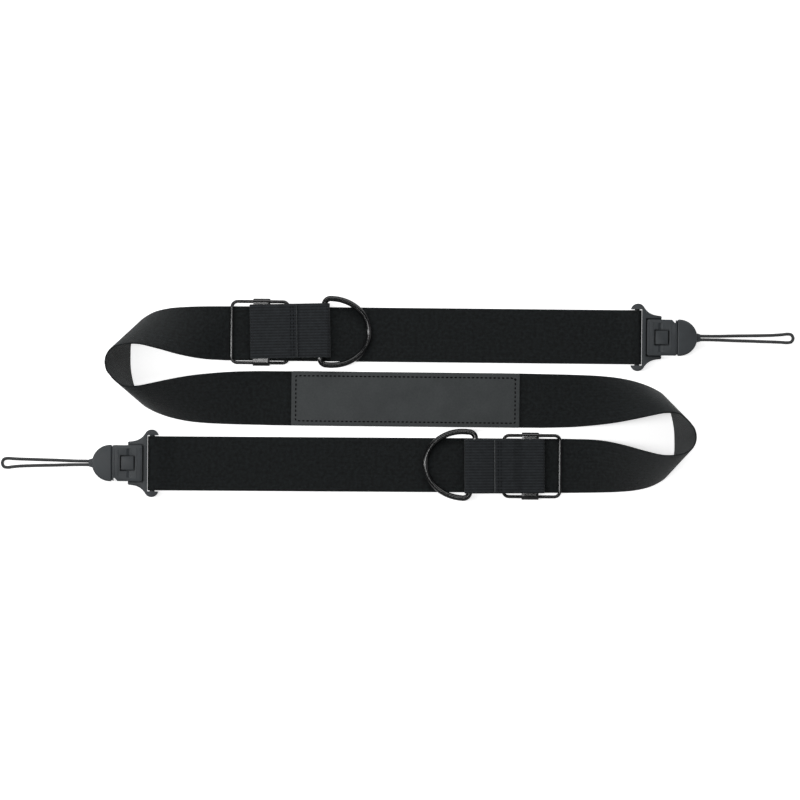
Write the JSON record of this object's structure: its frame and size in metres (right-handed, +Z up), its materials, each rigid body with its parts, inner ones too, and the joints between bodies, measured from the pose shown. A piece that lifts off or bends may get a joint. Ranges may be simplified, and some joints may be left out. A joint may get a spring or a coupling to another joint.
{
  "type": "camera sling strap",
  "caption": "Camera sling strap of flat webbing with leather shoulder pad, quick adjusters on ribbed pull tabs with D-rings, and quick-release cord connectors, laid folded in a flat S.",
  "frame": {"origin": "centre of the bounding box of the strap without its cord loops, on the floor it lies on", "axes": "+X along the strap towards the right-hand connector, +Y across the three runs towards the run with that connector, +Z up from the floor"},
  "size_m": [0.5559, 0.1435, 0.0366],
  "materials": {
    "webbing": "black seat-belt webbing with a fine diagonal twill and a soft sheen",
    "ribbed_webbing": "black ribbed polypropylene webbing, fine lengthwise ribs",
    "leather": "smooth dark grey leather with black stitching inside its edge",
    "black_metal": "glossy black enamelled steel wire and plate",
    "black_plastic": "matte moulded dark grey plastic",
    "cord": "thin braided black cord"
  },
  "bodies": {
    "strap": {"shoulder_webbing": "webbing", "leather_pad": "leather", "right_end_webbing": "webbing", "right_slider_frame": "black_metal", "right_sliding_bar": "black_metal", "right_pull_tab": "ribbed_webbing", "left_end_webbing": "webbing", "left_slider_frame": "black_metal", "left_sliding_bar": "black_metal", "left_pull_tab": "ribbed_webbing"},
    "right_ring": {"right_d_ring": "black_metal"},
    "left_ring": {"left_d_ring": "black_metal"},
    "right_connector": {"right_end_adapter": "black_plastic", "right_buckle_socket": "black_plastic", "right_release_button": "black_plastic", "right_buckle_plug": "black_plastic", "right_cord_loop": "cord"},
    "left_connector": {"left_end_adapter": "black_plastic", "left_buckle_socket": "black_plastic", "left_release_button": "black_plastic", "left_buckle_plug": "black_plastic", "left_cord_loop": "cord"}
  },
  "joints": [
    {"name": "right_ring_hinge", "type": "hinge", "parent": "strap", "child": "right_ring", "pos_m": [-0.05283, 0.04711, 0.0063], "axis": [-0.0797, -0.9968, 0], "range_deg": [0, 162]},
    {"name": "left_ring_hinge", "type": "hinge", "parent": "strap", "child": "left_ring", "pos_m": [0.05235, -0.04719, 0.0063], "axis": [0.1091, 0.994, 0], "range_deg": [0, 162]},
    {"name": "right_connector_hinge", "type": "hinge", "parent": "strap", "child": "right_connector", "pos_m": [0.1676, 0.04277, 0.00315], "axis": [-0.0099, -1, 0], "range_deg": [-90, 90]},
    {"name": "left_connector_hinge", "type": "hinge", "parent": "strap", "child": "left_connector", "pos_m": [-0.17185, -0.0454, 0.00315], "axis": [0.0064, 1, 0], "range_deg": [-90, 90]}
  ]
}
